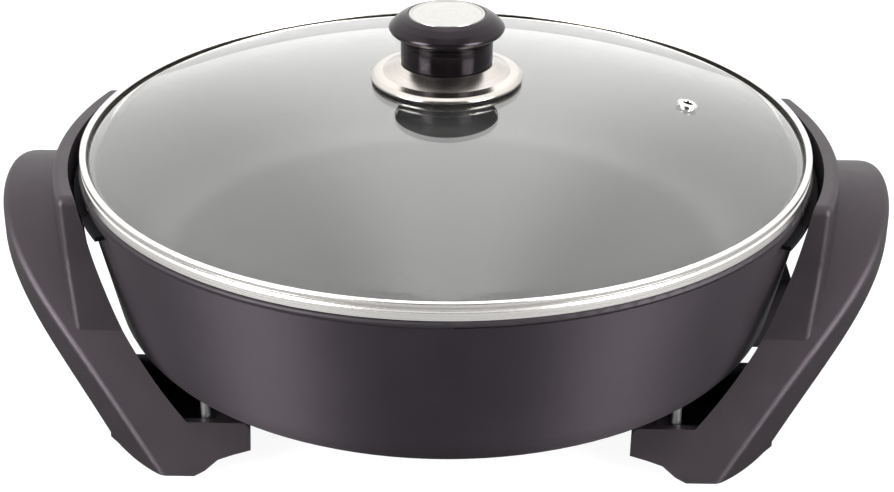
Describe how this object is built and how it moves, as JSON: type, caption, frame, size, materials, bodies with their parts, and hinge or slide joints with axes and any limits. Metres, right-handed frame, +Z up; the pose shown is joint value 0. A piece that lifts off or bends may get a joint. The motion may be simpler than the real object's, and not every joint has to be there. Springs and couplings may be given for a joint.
{
  "type": "electric skillet with glass lid",
  "caption": "Round electric skillet with a domed glass lid, knob, side handles that run down into feet, and a covered inlet for a plug-in control.",
  "frame": {"origin": "on the ground under the centre of the pan, at the middle of the footprint", "axes": "+Z up, the handles on +X and -X with the inlet facing +X, -Y towards the user's side"},
  "size_m": [0.44, 0.3624, 0.1851],
  "materials": {
    "nonstick_pan": "cast aluminium with a satin dark grey non-stick coat",
    "casing_enamel": "satin dark grey baked paint on pressed steel",
    "element_sheath": "dull stainless sheath",
    "seal_ceramic": "matt steatite",
    "pin_metal": "bright nickel plate",
    "tube_steel": "drawn stainless tube",
    "inlet_plastic": "matt black heat-resistant moulding",
    "screw_steel": "zinc-plated screws",
    "reflector_aluminium": "bright rolled sheet",
    "handle_plastic": "satin dark grey heat-resistant moulding",
    "bracket_black": "pressed steel in matt black paint",
    "rivet_aluminium": "satin",
    "post_steel": "turned steel",
    "lid_glass": "clear tempered glass, polished",
    "band_steel": "polished stainless steel",
    "eyelet_steel": "polished",
    "flange_steel": "fine turned stainless steel",
    "neck_plastic": "gloss black",
    "cap_plastic": "semi-gloss black",
    "disc_steel": "brushed bright disc",
    "insert_brass": "knurled insert",
    "washer_steel": "plain",
    "seal_silicone": "soft translucent grey silicone"
  },
  "bodies": {
    "base": {"pan": "nonstick_pan", "casing": "casing_enamel", "heating_element": "element_sheath", "element_end_seals": "seal_ceramic", "terminal_pins": "pin_metal", "earth_pin": "pin_metal", "probe_tube": "tube_steel", "inlet_shroud": "inlet_plastic", "inlet_screws": "screw_steel", "reflector": "reflector_aluminium", "reflector_screws": "screw_steel", "right_handle": "handle_plastic", "left_handle": "handle_plastic", "right_bracket": "bracket_black", "left_bracket": "bracket_black", "bracket_rivets": "rivet_aluminium", "handle_screws": "screw_steel", "foot_posts": "post_steel", "foot_screws": "screw_steel"},
    "lid": {"lid_glass": "lid_glass", "lid_band": "band_steel", "vent_eyelet": "eyelet_steel", "knob_flange": "flange_steel", "knob_neck": "neck_plastic", "knob_cap": "cap_plastic", "knob_disc": "disc_steel", "knob_insert": "insert_brass", "knob_screw": "screw_steel", "knob_washer": "washer_steel", "knob_upper_seal": "seal_silicone", "knob_lower_seal": "seal_silicone"}
  },
  "joints": [
    {"name": "lid_lift", "type": "slide", "parent": "base", "child": "lid", "axis": [0, 0, 1], "range_m": [0, 0.15]}
  ]
}
